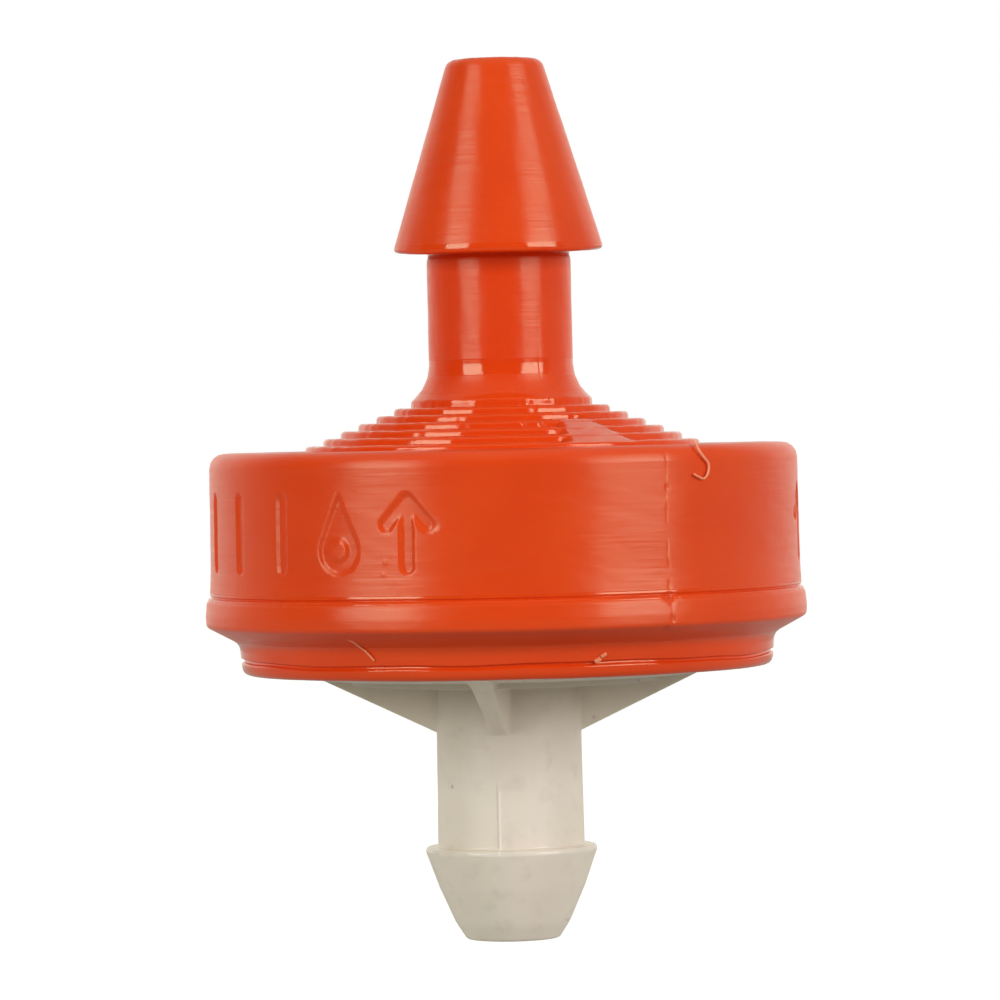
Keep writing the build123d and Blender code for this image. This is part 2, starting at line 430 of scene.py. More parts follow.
@dataclass(frozen=True)
class BeigePlastic(Finish):
    """Satin grey-beige plastic, a little clouded, with small dark specks.

    Zones and ramps are in millimetres, along the axis or sideways, and so is every relief.
    """

    name: str = "beige_plastic"
    colour: Triple = (0.840, 0.755, 0.650)
    cool_colour: Triple = (0.800, 0.742, 0.612)
    # painted shade: colour of the shadow under the plate
    painted_shade_colour: Triple = (0.42, 0.36, 0.27)
    speck_colour: Triple = (0.30, 0.26, 0.20)
    # painted highlight: colour of the bright line along the neck's ridge
    ridge_highlight_colour: Triple = (0.97, 0.93, 0.84)
    roughness: float = 0.33
    cloud_roughness: float = 0.12
    grain_roughness: float = 0.06
    cloud: Noise = Noise(0.55, 3.0)
    cloud_ramp: Ramp = (0.3, 0.7)
    cloud_show: float = 0.3
    cool_side: Ramp = (0.5, -0.5)
    cool_side_sway: float = 2.0
    cool_side_show: float = 0.7
    stain: Noise = Noise(1.7, 2.5)
    stain_ramp: Ramp = (0.50, 0.80)
    stain_show: float = 0.13
    stain_height: float = 0.006
    specks: Specks = Specks(1.3, 0.09, 0.20)
    speck_show: float = 0.5
    speck_depth: float = 0.012
    lines: Noise = Noise((0.3, 0.3, 5.0), 3.0, 0.6)
    line_height: float = 0.004
    grain: Noise = Noise(14.0, 3.0, 0.6)
    grain_height: float = 0.0016
    neck_front: Ramp = (0.0, -0.5)
    neck_start: Ramp = (-0.20, -0.05)
    neck_end: Ramp = (2.05, 1.6)
    thin_edge: float = 0.02
    dark_line_zone: Ramp = (-0.095, -0.080)
    dark_line_start: Ramp = (0.02, 0.10)
    dark_line_breaks: Ramp = (0.36, 0.50)
    dark_line_show: float = 0.30
    ridge_zone: Ramp = (-0.035, 0.005)
    ridge_end: Ramp = (1.75, 1.55)
    ridge_highlight_show: float = 0.6
    beside_rib_squared: Ramp = (0.07, 0.16)
    under_plate: Ramp = (3.3, 4.5)
    painted_shade_show: float = 0.42
    crest_zone: Ramp = (-0.16, 0.08)
    crest_edge: float = 0.03
    crest_polish: float = 0.20

    def _neck_lines(self, graph: Graph, place: Value, stain: Value) -> tuple[Value, Value]:
        """Thin dark line, and a painted highlight along the raised ridge, at the front of the neck.

        Args:
            graph: the material's graph.
            place: place on the object.
            stain: noise that breaks the dark line up.

        Returns:
            How much of the dark line and of the painted ridge highlight shows.
        """
        sideways, height = graph.axis_value(place, "X"), graph.axis_value(place, "Z")
        front = graph.axis_value(place, "Y").smooth(*self.neck_front)
        front = front * height.smooth(*self.neck_end) * height.smooth(*self.neck_start)
        # a thin broken dark line painted just left of the ridge, from above the crest up the front of the
        # neck
        dark_line = graph.between(sideways, *self.dark_line_zone, self.thin_edge) * front
        dark_line = dark_line * height.smooth(*self.dark_line_start) * stain.smooth(*self.dark_line_breaks)
        # painted highlight: a pale line along the raised ridge at the front of the neck, fading out near
        # its top
        ridge = graph.between(sideways, *self.ridge_zone, self.thin_edge) * front
        return dark_line * self.dark_line_show, ridge * height.smooth(*self.ridge_end) * self.ridge_highlight_show

    def _tint(self, graph: Graph, place: Value, cloud: Value, stain: Value, specks: Value) -> Value:
        """Clouds, stains, specks, the lines on the neck and painted shade beside the ribs under the
        plate.

        Args:
            graph: the material's graph.
            place: place on the object.
            cloud: wide noise.
            stain: narrower noise.
            specks: where the specks are.

        Returns:
            The colour.
        """
        sideways, height = graph.axis_value(place, "X"), graph.axis_value(place, "Z")
        side = (sideways + (cloud - 0.5) * self.cool_side_sway).smooth(*self.cool_side)
        dark_line, ridge = self._neck_lines(graph, place, stain)
        # painted shade: the colour darkens under the plate away from the front and back ribs, where the
        # plate's shadow falls
        shade = height.smooth(*self.under_plate) * (sideways * sideways).smooth(*self.beside_rib_squared)
        layers = (
            (side * self.cool_side_show, self.cool_colour),
            (cloud.smooth(*self.cloud_ramp) * self.cloud_show, self.cool_colour),
            (stain.smooth(*self.stain_ramp) * self.stain_show, self.speck_colour),
            (specks * self.speck_show, self.speck_colour),
            (dark_line, self.speck_colour),
            (shade * self.painted_shade_show, self.painted_shade_colour),
            (ridge, self.ridge_highlight_colour),
        )
        tint = self.colour
        for share, colour in layers:
            tint = graph.mix(share, tint, colour)
        return tint

    def sockets(self, graph: Graph, place: Value) -> dict[str, Linkable]:
        """Sockets of the surface shader.

        Args:
            graph: the material's graph.
            place: place on the object.

        Returns:
            Socket names with their values.
        """
        cloud, stain = graph.noise(place, self.cloud), graph.noise(place, self.stain)
        lines, grain = graph.noise(place, self.lines), graph.noise(place, self.grain)
        specks = graph.specks(place, self.specks)
        crest = graph.between(graph.axis_value(place, "Z"), *self.crest_zone, self.crest_edge)
        satin = cloud * self.cloud_roughness + grain * self.grain_roughness + self.roughness
        relief = lines * self.line_height + grain * self.grain_height + stain * self.stain_height
        return {
            "Base Color": self._tint(graph, place, cloud, stain, specks),
            "Roughness": satin - crest * self.crest_polish,
            "Normal": graph.bump(relief - specks * self.speck_depth),
            "IOR": 1.48,
            "Subsurface Weight": 0.18,
            "Subsurface Scale": 0.0010,
            "Subsurface Radius": (1.0, 0.85, 0.60),
        }


@dataclass(frozen=True)
class BlackPlastic(Finish):
    """Matte black plastic of the maze disc."""

    name: str = "black_plastic"
    colour: Triple = (0.020, 0.020, 0.022)
    dusty_colour: Triple = (0.050, 0.050, 0.052)
    cloud: Noise = Noise(0.8, 3.0)
    cloud_ramp: Ramp = (0.40, 0.75)
    grain: Noise = Noise(9.0, 3.0, 0.6)
    grain_height: float = 0.004
    grain_roughness: float = 0.2
    roughness: float = 0.42

    def sockets(self, graph: Graph, place: Value) -> dict[str, Linkable]:
        """Sockets of the surface shader.

        Args:
            graph: the material's graph.
            place: place on the object.

        Returns:
            Socket names with their values.
        """
        cloud = graph.noise(place, self.cloud).smooth(*self.cloud_ramp)
        grain = graph.noise(place, self.grain)
        return {
            "Base Color": graph.mix(cloud, self.colour, self.dusty_colour),
            "Roughness": grain * self.grain_roughness + self.roughness,
            "Normal": graph.bump(grain * self.grain_height),
            "IOR": 1.5,
        }


@dataclass(frozen=True)
class SiliconeRubber(Finish):
    """Milky grey silicone of the diaphragm."""

    name: str = "silicone_rubber"
    colour: Triple = (0.42, 0.40, 0.36)
    pale_colour: Triple = (0.52, 0.50, 0.46)
    cloud: Noise = Noise(0.7, 3.0)
    cloud_ramp: Ramp = (0.3, 0.7)
    grain: Noise = Noise(7.0)
    grain_height: float = 0.003
    grain_roughness: float = 0.15
    roughness: float = 0.50

    def sockets(self, graph: Graph, place: Value) -> dict[str, Linkable]:
        """Sockets of the surface shader.

        Args:
            graph: the material's graph.
            place: place on the object.

        Returns:
            Socket names with their values.
        """
        cloud = graph.noise(place, self.cloud).smooth(*self.cloud_ramp)
        grain = graph.noise(place, self.grain)
        return {
            "Base Color": graph.mix(cloud, self.colour, self.pale_colour),
            "Roughness": grain * self.grain_roughness + self.roughness,
            "Normal": graph.bump(grain * self.grain_height),
            "IOR": 1.43,
            "Subsurface Weight": 0.3,
            "Subsurface Scale": 0.0008,
        }


@dataclass(frozen=True)
class PaleFloor(Finish):
    """Plain pale floor that glows a little, so that it stays light under the part."""

    name: str = "pale_floor"
    colour: Triple = (0.90, 0.90, 0.90)
    worn_colour: Triple = (0.86, 0.86, 0.86)
    grain: Noise = Noise(0.04, 3.0)
    grain_show: float = 0.05
    roughness: float = 0.9
    glow_colour: tuple[float, float, float, float] = (1.0, 1.0, 1.0, 1.0)
    glow: float = 0.62

    def sockets(self, graph: Graph, place: Value) -> dict[str, Linkable]:
        """Sockets of the surface shader.

        Args:
            graph: the material's graph.
            place: place on the object.

        Returns:
            Socket names with their values.
        """
        grain = graph.noise(place, self.grain) * self.grain_show
        return {
            "Base Color": graph.mix(grain, self.colour, self.worn_colour),
            "Roughness": self.roughness,
            "Emission Color": self.glow_colour,
            "Emission Strength": self.glow,
        }


# ---------------------------------------------------------------------------
# Turned shapes
# ---------------------------------------------------------------------------


@dataclass(frozen=True)
class Corner:
    """One corner of a turned outline, in millimetres."""

    radius: float
    height: float
    rounding: float = 0.0
    step: float = 0.5


ARC_STEP = math.radians(24.0)
GUARD_MM = 0.03


def _arc(corner: np.ndarray, before: np.ndarray, after: np.ndarray, rounding: float) -> np.ndarray:
    """Points of one rounded corner.

    Args:
        corner: the sharp corner.
        before: the corner before it.
        after: the corner after it.
        rounding: radius of the arc.

    Returns:
        The arc's points, or the corner itself where it isn't rounded.
    """
    to_before = (before - corner) / np.linalg.norm(before - corner)
    to_after = (after - corner) / np.linalg.norm(after - corner)
    opening = math.acos(float(np.clip(to_before @ to_after, -1.0, 1.0)))
    turn = math.pi - opening
    if rounding <= 0 or turn < 1e-4:
        return corner[None, :]
    reach = rounding / math.tan(opening / 2)
    bisector = (to_before + to_after) / np.linalg.norm(to_before + to_after)
    centre = corner + bisector * rounding / math.sin(opening / 2)
    first = corner + to_before * reach - centre
    last = corner + to_after * reach - centre
    count = max(2, math.ceil(turn / ARC_STEP))
    shares = np.linspace(0.0, 1.0, count + 1)[:, None]
    return centre + (np.sin((1 - shares) * turn) * first + np.sin(shares * turn) * last) / math.sin(turn)


def _run(start: np.ndarray, end: np.ndarray, step: float) -> np.ndarray:
    """Points strictly between the ends of a straight run, with one close to each end.

    Args:
        start: first end.
        end: last end.
        step: longest gap between points.

    Returns:
        The points, which may be none.
    """
    length = float(np.linalg.norm(end - start))
    if length < 4 * GUARD_MM:
        return np.zeros((0, 2))
    inner = max(1, math.ceil((length - 2 * GUARD_MM) / step))
    along = np.linspace(GUARD_MM, length - GUARD_MM, inner + 1) / length
    return start + (end - start) * along[:, None]


def outline(corners: Sequence[Corner], closed: bool = True) -> np.ndarray:
    """Turns corners into outline points.

    Args:
        corners: the corners in order.
        closed: whether the last corner joins the first.

    Returns:
        Radius and height of each point.
    """
    sharp = [np.array((c.radius, c.height)) for c in corners]
    count = len(corners)
    arcs = []
    for index, corner in enumerate(corners):
        at_end = not closed and index in (0, count - 1)
        rounding = 0.0 if at_end else corner.rounding
        arcs.append(_arc(sharp[index], sharp[index - 1], sharp[(index + 1) % count], rounding))
    points = []
    for index in range(count):
        points.append(arcs[index])
        if closed or index < count - 1:
            points.append(_run(arcs[index][-1], arcs[(index + 1) % count][0], corners[index].step))
    return np.concatenate(points)


def outline_normals(points: np.ndarray) -> np.ndarray:
    """Unit normals of a closed outline, on its right-hand side as it is walked.

    Args:
        points: radius and height of each point.

    Returns:
        The normal at each point.
    """
    along = np.roll(points, -1, axis=0) - np.roll(points, 1, axis=0)
    normals = np.stack((along[:, 1], -along[:, 0]), axis=1)
    return normals / np.maximum(np.linalg.norm(normals, axis=1, keepdims=True), 1e-12)


def wave(values: np.ndarray, pitch: float, seed: int) -> np.ndarray:
    """Smooth uneven curve between about -1 and 1.

    Args:
        values: where it is read.
        pitch: length of its main wave, in the same unit.
        seed: picks the phases.

    Returns:
        The curve's values.
    """
    phases = np.random.default_rng(seed).uniform(0, 2 * math.pi, 5)
    total = np.zeros_like(values, dtype=float)
    for index, phase in enumerate(phases):
        total += np.sin(values * 2 * math.pi / pitch * (1 + 0.83 * index) + phase) / (1 + 0.7 * index)
    return total / 2.0


def ease(values: np.ndarray, low: float, high: float) -> np.ndarray:
    """Smooth rise from 0 at low to 1 at high, for arrays."""
    share = np.clip((values - low) / (high - low), 0.0, 1.0)
    return share * share * (3 - 2 * share)


def turn_difference(angles: np.ndarray, centre: float) -> np.ndarray:
    """Signed difference between angles, in degrees."""
    return (angles - centre + 180.0) % 360.0 - 180.0


def hill(offsets: np.ndarray, width: float) -> np.ndarray:
    """Round hill that is 1 in the middle and fades out beyond its width."""
    return np.exp(-((offsets / width) ** 2))


def around(radii: np.ndarray, turns: np.ndarray, heights: np.ndarray) -> np.ndarray:
    """Points from radii, angles in radians and heights."""
    return np.stack((radii * np.cos(turns), radii * np.sin(turns), heights), axis=2)


def repeated(row: np.ndarray, count: int) -> np.ndarray:
    """One row of numbers repeated into several rows."""
    return np.repeat(row[None, :], count, axis=0)


def widened(column: np.ndarray, count: int) -> np.ndarray:
    """One column of numbers repeated into several columns."""
    return np.repeat(column[:, None], count, axis=1)


@dataclass(frozen=True)
class Bump:
    """Small round bump or pit: angle in degrees, height, radius round the axis, size and lift."""

    angle: float
    height: float
    radius: float
    size: float
    lift: float

    def rise(self, angles: np.ndarray, radii: np.ndarray, heights: np.ndarray) -> np.ndarray:
        """How far the skin is lifted round the bump.

        Args:
            angles: degrees round the axis.
            radii: radius of each point.
            heights: height of each point.

        Returns:
            Lift in millimetres.
        """
        across = np.radians(turn_difference(angles, self.angle)) * self.radius
        gap = np.sqrt(across**2 + (heights - self.height) ** 2 + (radii - self.radius) ** 2)
        return self.lift * hill(gap, self.size)


def grid_mesh(name: str, points: np.ndarray) -> bpy.types.Object:
    """Closed mesh from rows that each go once round the axis.

    Args:
        name: the object's name.
        points: rows by columns by three coordinates, in millimetres.

    Returns:
        The mesh object.
    """
    rows, columns = points.shape[:2]
    row, column = np.meshgrid(np.arange(rows), np.arange(columns), indexing="ij")
    next_row, next_column = (row + 1) % rows, (column + 1) % columns
    corners = ((row, column), (next_row, column), (next_row, next_column), (row, next_column))
    faces = np.stack([(r * columns + c).ravel() for r, c in corners], axis=1)
    mesh = bpy.data.meshes.new(name)
    mesh.vertices.add(rows * columns)
    mesh.vertices.foreach_set("co", (points.reshape(-1, 3) * MM).astype(np.float32).ravel())
    mesh.loops.add(faces.size)
    mesh.loops.foreach_set("vertex_index", faces.ravel().astype(np.int32))
    mesh.polygons.add(len(faces))
    mesh.polygons.foreach_set("loop_start", (np.arange(len(faces)) * 4).astype(np.int32))
    mesh.update(calc_edges=True)
    mesh.validate()
    mesh.shade_smooth()
    made = bpy.data.objects.new(name, mesh)
    bpy.context.scene.collection.objects.link(made)
    return made


def dress(piece: bpy.types.Object, material: bpy.types.Material, slot: Slot) -> None:
    """Gives a piece its material.

    Args:
        piece: the piece.
        material: its finish.
        slot: the record's slot; not used.
    """
    piece.data.materials.clear()
    piece.data.materials.append(material)


# ---------------------------------------------------------------------------
# Raised marks
# ---------------------------------------------------------------------------


@dataclass(frozen=True)
class Mark:
    """One raised mark on the drum wall, in millimetres round its own centre."""

    kind: MarkKind
    angle: float
    middle_z: float = 9.02
    height: float = 2.17
    stroke: float = 0.36
    relief: float = 0.07
    head_width: float = 1.20
    head_height: float = 0.85
    drop_radius: float = 0.64
    softness: float = 0.034

    def _stroke(self, x: np.ndarray, y: np.ndarray, start: Ramp, end: Ramp) -> np.ndarray:
        """Distance from a straight stroke's edge, negative inside it.

        Args:
            x: place round the drum.
            y: place along the axis.
            start: one end of the stroke.
            end: its other end.

        Returns:
            The signed distance.
        """
        along = np.array(end) - np.array(start)
        share = ((x - start[0]) * along[0] + (y - start[1]) * along[1]) / (along @ along)
        share = np.clip(share, 0.0, 1.0)
        gap = np.hypot(x - start[0] - share * along[0], y - start[1] - share * along[1])
        return gap - self.stroke / 2

    def _drop(self, x: np.ndarray, y: np.ndarray) -> np.ndarray:
        """Distance from the edge of a drop with a round hollow.

        Args:
            x: place round the drum.
            y: place along the axis.

        Returns:
            The signed distance.
        """
        centre_y = self.drop_radius - self.height / 2
        reach = self.height / 2 - centre_y
        side, up = np.abs(x), y - centre_y
        slope = self.drop_radius / reach
        rise = math.sqrt(1 - slope * slope)
        place = -slope * side + rise * up
        flank = rise * side + slope * up - self.drop_radius
        ball = np.hypot(side, up) - self.drop_radius
        point = np.hypot(side, up - reach)
        body = np.where(place < 0, ball, np.where(place > rise * reach, point, flank))
        hollow = np.hypot(side, up) - (self.drop_radius - self.stroke)
        return np.maximum(body, -hollow)

    def distance(self, x: np.ndarray, y: np.ndarray) -> np.ndarray:
        """Distance from the mark's edge, negative inside it.

        Args:
            x: place round the drum.
            y: place along the axis.

        Returns:
            The signed distance.
        """
        half = self.height / 2
        inner = half - self.stroke / 2
        if self.kind is MarkKind.BAR:
            return self._stroke(x, y, (0.0, -inner), (0.0, inner))
        if self.kind is MarkKind.DROP:
            return self._drop(x, y)
        low = half - self.head_height
        side = self.head_width / 2
        stem = self._stroke(x, y, (0.0, -inner), (0.0, inner))
        left = self._stroke(x, y, (-side, low), (0.0, inner))
        right = self._stroke(x, y, (side, low), (0.0, inner))
        return np.minimum(stem, np.minimum(left, right))

    def lift(self, angles: np.ndarray, radius: float, heights: np.ndarray) -> np.ndarray:
        """How far the mark stands out.

        Args:
            angles: degrees round the axis.
            radius: the drum's radius.
            heights: heights along the axis.

        Returns:
            Relief in millimetres.
        """
        x = np.radians(turn_difference(angles, self.angle)) * radius
        x, y = np.broadcast_arrays(x, heights - self.middle_z)
        edge = self.distance(x + 0.010 * wave(y, 0.9, 5), y + 0.008 * wave(x, 0.8, 6))
        return self.relief * ease(-edge, -self.softness, self.softness)


# ---------------------------------------------------------------------------
# Cap
# ---------------------------------------------------------------------------


@dataclass
class OutletCap:
    """Orange cap: barb, neck, stepped cone, drum with marks, flange, band and cavity."""

    bore_r: float = 0.85
    tip_z: float = 22.20
    tip_r: float = 1.33
    crest_r: float = 2.985
    under_z: float = 16.79
    neck_r: float = 2.035
    flare_z: float = 13.02
    flare_rounding: float = 1.20
    ring_count: int = 7
    ring_inner_r: float = 2.55
    ring_outer_r: float = 5.57
    ring_high_z: float = 12.60
    ring_low_z: float = 11.38
    top_z: float = 11.24
    dish_z: float = 11.18
    drum_top_r: float = 8.30
    drum_low_r: float = 8.35
    flange_r: float = 8.49
    flange_top_z: float = 7.14
    flange_edge_z: float = 6.98
    flange_low_z: float = 6.37
    band_top_r: float = 7.56
    band_low_r: float = 7.46
    band_top_z: float = 5.88
    lip_line_z: float = 5.38
    bottom_z: float = 4.99
    lip_r: float = 6.45
    rim_z: float = 5.30
    cavity_r: float = 6.95
    ceiling_z: float = 10.00
    seat_r: float = 1.60
    seat_z: float = 9.55
    seam_angle: float = -50.0
    smear_angle: float = -51.5
    gate_angle: float = -68.5
    mark_pitch: float = 14.3
    front_mark_angle: float = -100.5
    side_mark_angle: float = 0.0
    sag_angle: float = -84.0
    crest_sag: float = 0.12
    tip_rows: int = 4
    front_marks: tuple[MarkKind, ...] = (MarkKind.ARROW, MarkKind.DROP) + (MarkKind.BAR,) * 3
    side_marks: tuple[MarkKind, ...] = (MarkKind.ARROW, MarkKind.BAR, MarkKind.BAR)
    piece: Optional[bpy.types.Object] = field(default=None, init=False)

    def _cone_corners(self) -> list[Corner]:
        """Corners of the stepped cone, from the smallest ring outwards.

        Returns:
            Two corners for each ring.
        """
        width = (self.ring_outer_r - self.ring_inner_r) / (self.ring_count - 1)
        rise = (self.ring_high_z - self.ring_low_z) / (self.ring_count - 1)
        corners = []
        for index in range(self.ring_count):
            radius = self.ring_inner_r + index * width
            tread_z = self.ring_high_z - index * rise
            floor_z = max(tread_z - rise, self.dish_z)
            corners.append(Corner(radius, tread_z, 0.11))
            corners.append(Corner(radius + 0.006, floor_z, 0.03))
        return corners

    def outline(self) -> np.ndarray:
        """Closed outline, from the tip of the barb down the outside and back up inside.

        Returns:
            Radius and height of each point.
        """
        line = self.lip_line_z
        middle_r = (self.band_top_r + self.band_low_r) / 2
        corners = [
            Corner(self.bore_r, self.tip_z, 0.10),
            Corner(self.tip_r, self.tip_z, 0.30, 0.45),
            Corner(self.crest_r, self.under_z, 0.09),
            Corner(self.crest_r - 0.40, self.under_z + 0.03, 0.08),
            Corner(self.neck_r - 0.035, self.under_z + 0.05, 0.04),
            Corner(self.neck_r - 0.030, self.under_z - 0.12, 0.15),
            Corner(self.neck_r, self.under_z - 0.27, 0.20, 0.35),
            Corner(self.neck_r, self.flare_z, self.flare_rounding),
            *self._cone_corners(),
            Corner(self.drum_top_r - 0.60, self.top_z, 1.00),
            Corner(self.drum_top_r, self.top_z, 0.43, 0.25),
            Corner(self.drum_top_r + 0.005, 10.20, 0.0, 0.072),
            Corner(self.drum_top_r + 0.020, 7.90, 2.0, 0.15),
            Corner(self.drum_low_r, self.flange_top_z + 0.19, 0.30, 0.15),
            Corner(self.drum_low_r + 0.015, self.flange_top_z + 0.12, 0.03),
            Corner(self.drum_low_r - 0.045, self.flange_top_z + 0.065, 0.015),
            Corner(self.drum_low_r + 0.055, self.flange_top_z + 0.02, 0.04),
            Corner(self.flange_r - 0.035, self.flange_edge_z + 0.03, 0.10, 0.2),
            Corner(self.flange_r, self.flange_edge_z - 0.30, 0.60, 0.2),
            Corner(self.flange_r - 0.015, self.flange_low_z, 0.15, 0.25),
            Corner(self.band_top_r, self.band_top_z, 0.35, 0.2),
            Corner(middle_r + 0.015, line + 0.055, 0.03),
            Corner(middle_r - 0.075, line + 0.03, 0.02),
            Corner(middle_r - 0.070, line - 0.03, 0.02),
            Corner(middle_r + 0.010, line - 0.07, 0.05),
            Corner(self.band_low_r, self.bottom_z, 0.22, 0.3),
            Corner(self.lip_r, self.bottom_z, 0.08),
            Corner(self.lip_r, self.rim_z, 0.08),
            Corner(self.cavity_r, self.rim_z, 0.0, 1.5),
            Corner(self.cavity_r, self.ceiling_z, 0.15, 1.5),
            Corner(self.seat_r, self.ceiling_z, 0.10),
            Corner(self.seat_r, self.seat_z, 0.12),
            Corner(self.bore_r, self.seat_z, 0.12, 2.0),
        ]
        return outline(corners)

    def columns(self) -> np.ndarray:
        """Angles of the mesh columns, closer together where there is fine detail.

        Returns:
            The angles in degrees.
        """
        front_low = self.front_mark_angle - self.mark_pitch * (len(self.front_marks) - 1)
        side_high = self.side_mark_angle + self.mark_pitch * (len(self.side_marks) - 1)
        zones = [
            (-180.0, 180.0, 1.25),
            (front_low - 3, self.front_mark_angle + 5, 0.36),
            (self.side_mark_angle - 5, side_high + 3, 0.48),
            (self.gate_angle - 6, self.gate_angle + 5, 0.5),
        ]
        for seam in (self.seam_angle, self.seam_angle + 180):
            zones.append((seam - 1.2, seam + 1.2, 0.12))
        angles, angle = [], -180.0
        while angle < 180.0 - 0.05:
            angles.append(angle)
            ahead = [low for low, high, step in zones if low > angle + 1e-6]
            step = min(step for low, high, step in zones if low - 1e-6 <= angle < high)
            angle = min([angle + step] + ahead)
        return np.array(angles)

    def marks(self) -> list[Mark]:
        """Every raised mark of the drum.

        Returns:
            The marks at the front, then those at the side.
        """
        front, side, pitch = self.front_mark_angle, self.side_mark_angle, self.mark_pitch
        made = [Mark(kind, front - index * pitch) for index, kind in enumerate(self.front_marks)]
        return made + [Mark(kind, side + index * pitch) for index, kind in enumerate(self.side_marks)]

    def _smear_cone(self, angles: np.ndarray, radii: np.ndarray, heights: np.ndarray) -> np.ndarray:
        """Heights of the cone with its rings melted flat beside the mould seam.

        Args:
            angles: degrees of each column.
            radii: radius of each point.
            heights: height of each point.

        Returns:
            The changed heights.
        """
        on_cone = (radii > self.ring_inner_r + 0.2) & (radii < self.ring_outer_r)
        on_cone &= (heights > self.dish_z + 0.01) & (heights < self.ring_high_z + 0.01)
        fall = (self.ring_high_z - self.ring_low_z) / (self.ring_outer_r - self.ring_inner_r)
        flat_z = self.ring_high_z - 0.05 - (radii - self.ring_inner_r) * fall
        half_width = 8.0 + 3.0 * ease(radii, 3.8, 5.5) + 0.8 * wave(radii, 1.1, 11)
        off = np.abs(turn_difference(angles, self.smear_angle)) - half_width
        share = ease(off, 1.4, -0.6) * ease(radii, 3.5, 3.9)
        return np.where(on_cone, heights + (flat_z - heights) * 0.96 * share, heights)

    def _seam_lift(self, angles: np.ndarray, radii: np.ndarray, heights: np.ndarray) -> np.ndarray:
        """Thin broken flash along both mould seams.

        Args:
            angles: degrees of each point.
            radii: radius of each point.
            heights: height of each point.

        Returns:
            Lift in millimetres.
        """
        total = np.zeros_like(heights)
        strong = ease(heights, 11.4, 11.0) + ease(heights, 13.0, 13.2) * ease(heights, 15.0, 14.2)
        for number, turn in enumerate((0.0, 180.0)):
            drift = 0.03 * wave(heights, 2.6, 21 + number)
            off = np.radians(turn_difference(angles, self.seam_angle + turn)) * radii + drift
            broken = ease(wave(heights, 1.3, 31 + number), -0.3, 0.7)
            height = 0.007 * broken * (0.2 + 0.8 * strong) * ease(heights, 6.2, 7.0)
            total += height * hill(off, 0.045)
        return total

    def bumps(self) -> tuple[Bump, ...]:
        """Gate scar and small moulding bumps.

        Returns:
            The bumps and pits.
        """
        gate, seam = self.gate_angle, self.seam_angle
        return (
            Bump(gate + 3.0, 11.97, 4.1, 0.13, 0.11),
            Bump(gate - 1.0, 11.88, 4.3, 0.16, 0.10),
            Bump(gate - 4.5, 11.98, 4.1, 0.10, 0.07),
            Bump(gate + 6.0, 11.75, 4.6, 0.10, 0.06),
            Bump(seam, 10.10, 8.31, 0.06, 0.025),
            Bump(seam - 0.3, 7.11, 8.42, 0.11, 0.07),
            Bump(seam, 7.42, 8.35, 0.05, 0.05),
            Bump(seam, 6.54, 8.49, 0.07, 0.06),
            Bump(seam - 1.1, 6.30, 8.30, 0.10, 0.05),
            Bump(-63.0, 7.70, 8.34, 0.05, 0.05),
            Bump(-52.2, 7.66, 8.34, 0.04, 0.03),
            Bump(-103.0, 7.47, 8.35, 0.05, 0.05),
            Bump(-102.5, 7.44, 8.35, 0.04, -0.05),
            Bump(-104.8, 8.26, 8.33, 0.05, -0.035),
            Bump(-105.3, 7.92, 8.33, 0.04, -0.03),
            Bump(-30.0, 8.15, 8.34, 0.05, 0.04),
            Bump(-84.0, 12.22, 3.4, 0.05, -0.04),
        )

    def _relief(self, angles: np.ndarray, radii: np.ndarray, heights: np.ndarray) -> np.ndarray:
        """Everything that stands out of the plain skin: seams, bumps, unevenness and marks.

        Args:
            angles: degrees of each point.
            radii: radius of each point.
            heights: height of each point.

        Returns:
            Lift in millimetres.
        """
        lift = self._seam_lift(angles, radii, heights)
        lift += sum(bump.rise(angles, radii, heights) for bump in self.bumps())
        lift += 0.004 * wave(angles + heights * 9, 47.0, 41)
        lift += 0.003 * wave(heights * 3 + angles * 0.11, 4.1, 42)
        flange_edge = hill(heights - self.flange_top_z, 0.06) * (radii > self.drum_low_r)
        nicks = wave(angles, 3.3, 44) * ease(wave(angles, 37.0, 45), -0.2, 0.6)
        lift += 0.012 * nicks * flange_edge
        rings = (radii < self.ring_outer_r + 0.1) & (heights > 11.2) & (heights < self.ring_high_z)
        lift += np.where(rings, 0.010 * wave(angles + radii * 31, 23.0, 43), 0.0)
        drum = (radii > self.drum_top_r - 0.1) & (heights > 7.4) & (heights < 10.1)
        for mark in self.marks():
            lift += np.where(drum, mark.lift(angles, self.drum_low_r, heights), 0.0)
        return lift

    def _sway(self, angles: np.ndarray, radii: np.ndarray, heights: np.ndarray) -> np.ndarray:
        """Wavy line round the band, and the crest of the barb sagging at the front.

        Args:
            angles: degrees of each point.
            radii: radius of each point.
            heights: height of each point.

        Returns:
            Shift along the axis in millimetres.
        """
        near_line = hill(heights - self.lip_line_z, 0.12) * (radii > self.band_low_r - 0.16)
        near_crest = hill(heights - self.under_z, 0.20) * ease(radii, self.neck_r + 0.25, 2.6)
        at_front = ease(np.abs(turn_difference(angles, self.sag_angle)), 85.0, 45.0)
        return 0.055 * wave(angles, 95.0, 51) * near_line - self.crest_sag * near_crest * at_front

